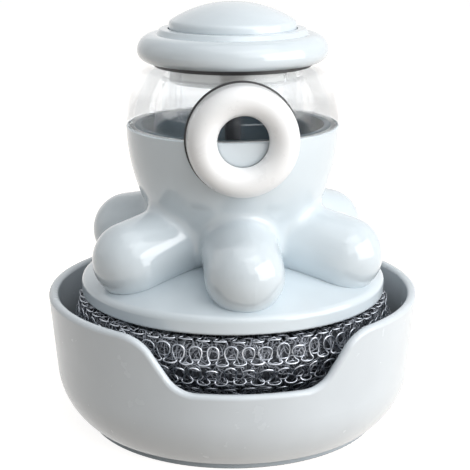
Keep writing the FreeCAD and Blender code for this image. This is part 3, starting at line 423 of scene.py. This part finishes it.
def ribbon(points, outward, half_width, half_thickness, sides, closed):
    """A flat wire along points, lying flat on the surface that outward points away from."""
    if closed:
        ahead = np.roll(points, -1, 0) - np.roll(points, 1, 0)
    else:
        ahead = np.gradient(points, axis=0)
    ahead /= np.linalg.norm(ahead, axis=1, keepdims=True)
    across = np.cross(ahead, outward)
    across /= np.linalg.norm(across, axis=1, keepdims=True)
    upward = np.cross(across, ahead)
    turns = np.arange(sides) * 2 * math.pi / sides
    ring = (
        points[:, None]
        + across[:, None] * (half_width * np.cos(turns))[None, :, None]
        + upward[:, None] * (half_thickness * np.sin(turns))[None, :, None]
    )
    count = len(points)
    faces = []
    for i in range(count if closed else count - 1):
        j = (i + 1) % count
        for k in range(sides):
            m = (k + 1) % sides
            faces.append((i * sides + k, j * sides + k, j * sides + m, i * sides + m))
    return ring.reshape(-1, 3), faces


def join_ribbons(name, parts, material):
    """One mesh from many ribbons."""
    points, faces, offset = [], [], 0
    for part_points, part_faces in parts:
        points.append(part_points)
        faces += [tuple(v + offset for v in face) for face in part_faces]
        offset += len(part_points)
    return mesh_object(name, np.concatenate(points).tolist(), faces, material)


def wobble(chance, loop, count, amount):
    """A small random amount for each loop of a row, joined up along the wire."""
    values = chance.normal(0, amount, count)
    return np.interp(loop, np.arange(count + 1), np.append(values, values[0]))


def knit_row(outline, row, phase, chance):
    """Points and outward directions along one row of loops round the pad."""
    radius = outline.at(row)[0]
    count = max(FEWEST_LOOPS, round(2 * math.pi * radius / LOOP_PITCH))
    turn = np.linspace(0, 2 * math.pi * count, count * STITCH_STEPS, endpoint=False)
    loop = turn / (2 * math.pi)
    upward = np.cos(turn)
    rise = np.where(upward > 0, LOOP_HEAD, LOOP_LINK) * (1 + wobble(chance, loop, count, RISE_SPREAD))
    run = row + wobble(chance, loop, count, ROW_SPREAD) - rise * upward
    lean = LOOP_LEAN * (1 + wobble(chance, loop, count, LEAN_SPREAD))
    sideways = lean * np.sin(2 * turn) + wobble(chance, loop, count, SIDE_SPREAD)
    angle = (turn / count) + phase * 2 * math.pi / count + sideways / radius
    lift = LOOP_DEPTH * np.cos(2 * turn) + wobble(chance, loop, count, DEPTH_SPREAD)
    return outline.place(np.clip(run, 0, outline.length), angle, lift)


def knit(name, outline, first_row, phase, half_width, seed, material):
    """Rows of knitted loops round the pad, as a flat wire that runs over and under itself."""
    chance = np.random.default_rng(seed)
    parts = []
    row = first_row
    while row < outline.length - BARE_MIDDLE:
        points, outward = knit_row(outline, row, phase, chance)
        parts.append(ribbon(points, outward, half_width, RIBBON_THICKNESS, RIBBON_SIDES, True))
        row += ROW_PITCH
    return join_ribbons(name, parts, material)


def tangle(name, outline, count, seed, material):
    """Loose ends of finer wire behind the knit."""
    chance = np.random.default_rng(seed)
    parts = []
    for _ in range(count):
        start = chance.uniform(STRAND_FIRST, outline.length - STRAND_LAST)
        angle = chance.uniform(0, 2 * math.pi)
        heading = chance.uniform(0, 2 * math.pi)
        bend = chance.normal(0, STRAND_BEND)
        step = chance.uniform(*STRAND_STEP_MM) * MM
        radius = max(outline.at(start)[0], STRAND_LEAST_RADIUS)
        run, around = [start], [angle]
        for _ in range(STRAND_STEPS):
            run.append(run[-1] + step * math.cos(heading))
            around.append(around[-1] + step * math.sin(heading) / radius)
            heading += bend * step
        lift = chance.uniform(-STRAND_LIFT_MM, STRAND_LIFT_MM) * MM
        tilt = np.linspace(0, 1, STRAND_STEPS + 1) * chance.normal(0, STRAND_TILT_MM) * MM
        points, outward = outline.place(np.clip(run, 0, outline.length), np.array(around), lift + tilt)
        parts.append(ribbon(points, outward, STRAND_WIDTH, STRAND_THICKNESS, STRAND_SIDES, False))
    return join_ribbons(name, parts, material)


def pad_core(name, outline, material):
    """Bun of packed wire that the knit lies on; its near-black colour is painted shade between the wires.
    """
    runs = np.linspace(0, outline.length, CORE_RINGS)
    last = CORE_RINGS - 1
    columns, faces = [], []
    for k in range(CORE_COLUMNS):
        angle = np.full(CORE_RINGS, 2 * math.pi * k / CORE_COLUMNS)
        points, _ = outline.place(runs, angle, np.zeros(CORE_RINGS))
        columns.append(points)
        here = k * CORE_RINGS
        beside = (k + 1) % CORE_COLUMNS * CORE_RINGS
        for i in range(last):
            faces.append((here + i, beside + i, beside + i + 1, here + i + 1))
    faces.append(tuple(k * CORE_RINGS for k in reversed(range(CORE_COLUMNS))))
    faces.append(tuple(k * CORE_RINGS + last for k in range(CORE_COLUMNS)))
    return mesh_object(name, np.concatenate(columns).tolist(), faces, material)


def scrubber():
    """Knitted wire over a core painted dark as shade, in place of the plain pad."""
    wire = bare_metal("wire_ribbon", [0.23, 0.25, 0.28], [0.60, 0.63, 0.68], 0.22)
    fine = bare_metal("fine_wire", [0.20, 0.215, 0.245], [0.52, 0.55, 0.61], 0.35)
    pieces = [
        pad_core("wire_core", PadOutline(inset=2.4 * MM), packed_wire_painted_shade("packed_wire_painted_shade")),
        knit(
            "wire_knit_outer", PadOutline(inset=0.55 * MM), first_row=5.65 * MM, phase=0.0,
            half_width=RIBBON_WIDTH, seed=3, material=wire,
        ),
        knit(
            "wire_knit_inner", PadOutline(inset=1.5 * MM), first_row=3.4 * MM, phase=0.5,
            half_width=RIBBON_WIDTH * 0.7, seed=4, material=fine,
        ),
        tangle("wire_tangle", PadOutline(inset=1.2 * MM), STRANDS, seed=5, material=fine),
    ]
    for piece in pieces:
        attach(piece, "brush")
    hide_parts("scrubber_pad")


def soft_spring(node, body):
    """A copy of a spring that moves with its body, in place of the CAD spring."""
    spring = bpy.data.objects.new(node + "_wire", nodes[node].data.copy())
    bpy.context.scene.collection.objects.link(spring)
    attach(spring, body)
    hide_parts(node)
    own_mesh(spring)


def area_light(name, azimuth, elevation, width, height, power):
    """A soft box that faces the head. Azimuth is from the front, positive towards +X."""
    data = bpy.data.lights.new(name, "AREA")
    data.shape = "RECTANGLE"
    data.size = width
    data.size_y = height
    data.energy = power
    light = bpy.data.objects.new(name, data)
    bpy.context.scene.collection.objects.link(light)
    turn, rise = math.radians(azimuth), math.radians(elevation)
    away = np.array([math.sin(turn) * math.cos(rise), -math.cos(turn) * math.cos(rise), math.sin(rise)])
    light.location = LAMP_AIM + away * LAMP_DISTANCE
    light.rotation_euler = (math.pi / 2 - rise, 0, turn)


def seen_directly(tree):
    """1 for what is seen straight, mirrored or through clear plastic, and 0 for light on the object."""
    paths = tree.nodes.new("ShaderNodeLightPath")
    seen = paths.outputs["Is Camera Ray"]
    for kind in ("Is Glossy Ray", "Is Transmission Ray"):
        seen = larger(tree, seen, paths.outputs[kind])
    return seen


def facing(tree, side):
    """0 to 1: how far a direction of the room turns towards a side."""
    place = tree.nodes.new("ShaderNodeTexCoord")
    dot = tree.nodes.new("ShaderNodeVectorMath")
    dot.operation = "DOT_PRODUCT"
    dot.inputs[1].default_value = side
    tree.links.new(place.outputs["Generated"], dot.inputs[0])
    share = tree.nodes.new("ShaderNodeMapRange")
    share.inputs["From Min"].default_value = -1.0
    share.inputs["From Max"].default_value = 1.0
    tree.links.new(dot.outputs["Value"], share.inputs["Value"])
    return share.outputs["Result"]


def pale_floor():
    """Floor that looks white apart from the object's soft shadow."""
    material, tree, shader = new_shader("pale_floor")
    feed(tree, shader.inputs["Base Color"], FLOOR_COLOUR)
    shader.inputs["Roughness"].default_value = 0.9
    shader.inputs["Specular IOR Level"].default_value = 0.0
    glow = tree.nodes.new("ShaderNodeEmission")
    glow.inputs["Strength"].default_value = FLOOR_GLOW
    share = tree.nodes.new("ShaderNodeMixShader")
    both = tree.nodes.new("ShaderNodeAddShader")
    tree.links.new(shader.outputs[0], both.inputs[0])
    tree.links.new(glow.outputs[0], both.inputs[1])
    tree.links.new(seen_directly(tree), share.inputs[0])
    tree.links.new(shader.outputs[0], share.inputs[1])
    tree.links.new(both.outputs[0], share.inputs[2])
    tree.links.new(share.outputs[0], tree.nodes["Material Output"].inputs["Surface"])
    corners = [(-1, -1), (1, -1), (1, 1), (-1, 1)]
    points = [(x * FLOOR_HALF, y * FLOOR_HALF, -FLOOR_DROP) for x, y in corners]
    mesh_object("floor", points, [(0, 1, 2, 3)], material)


def dim_room():
    """World that is seen as white and lights the object dimly, most from the front and above."""
    world = bpy.data.worlds.new("white_room")
    bpy.context.scene.world = world
    world.use_nodes = True
    tree = world.node_tree
    backdrop = tree.nodes["Background"]
    room = mix_colours(tree, facing(tree, ROOM_BRIGHT_SIDE), ROOM_DARK, ROOM_BRIGHT)
    colour = mix_colours(tree, seen_directly(tree), room, WHITE)
    tree.links.new(colour, backdrop.inputs["Color"])
    backdrop.inputs["Strength"].default_value = 1.0


def lamps():
    """A wide window on the right, soft boxes in front and above, faint ones at the left and the back."""
    area_light("window", 60, 13, width=0.95, height=0.72, power=WINDOW_POWER)
    area_light("overhead", 10, 78, width=0.9, height=0.9, power=OVERHEAD_POWER)
    area_light("left_rim", -105, 22, width=0.5, height=0.6, power=LEFT_RIM_POWER)
    area_light("back", 170, 35, width=0.8, height=0.6, power=BACK_POWER)
    area_light("front", 32, 40, width=0.8, height=0.8, power=FRONT_POWER)


def photo_camera():
    """Camera that stands and looks as the photograph's did."""
    data = bpy.data.cameras.new("photo_camera")
    data.sensor_width = SENSOR_MM
    data.lens = FOCAL_PIXELS / IMAGE_PIXELS * SENSOR_MM
    data.clip_start = NEAREST_SEEN
    camera = bpy.data.objects.new("photo_camera", data)
    bpy.context.scene.collection.objects.link(camera)
    x = CAMERA_DISTANCE * math.sin(CAMERA_AZIMUTH)
    y = -CAMERA_DISTANCE * math.cos(CAMERA_AZIMUTH)
    camera.location = (x, y, CAMERA_HEIGHT)
    camera.rotation_euler = (math.pi / 2 - CAMERA_PITCH, 0, CAMERA_AZIMUTH + CAMERA_YAW)
    bpy.context.scene.camera = camera


finish_solids()
scrubber()
soft_spring("button_spring", "cap")
soft_spring("valve_spring", "brush")
pale_floor()
dim_room()
lamps()
photo_camera()
bpy.context.scene.view_settings.view_transform = "Standard"
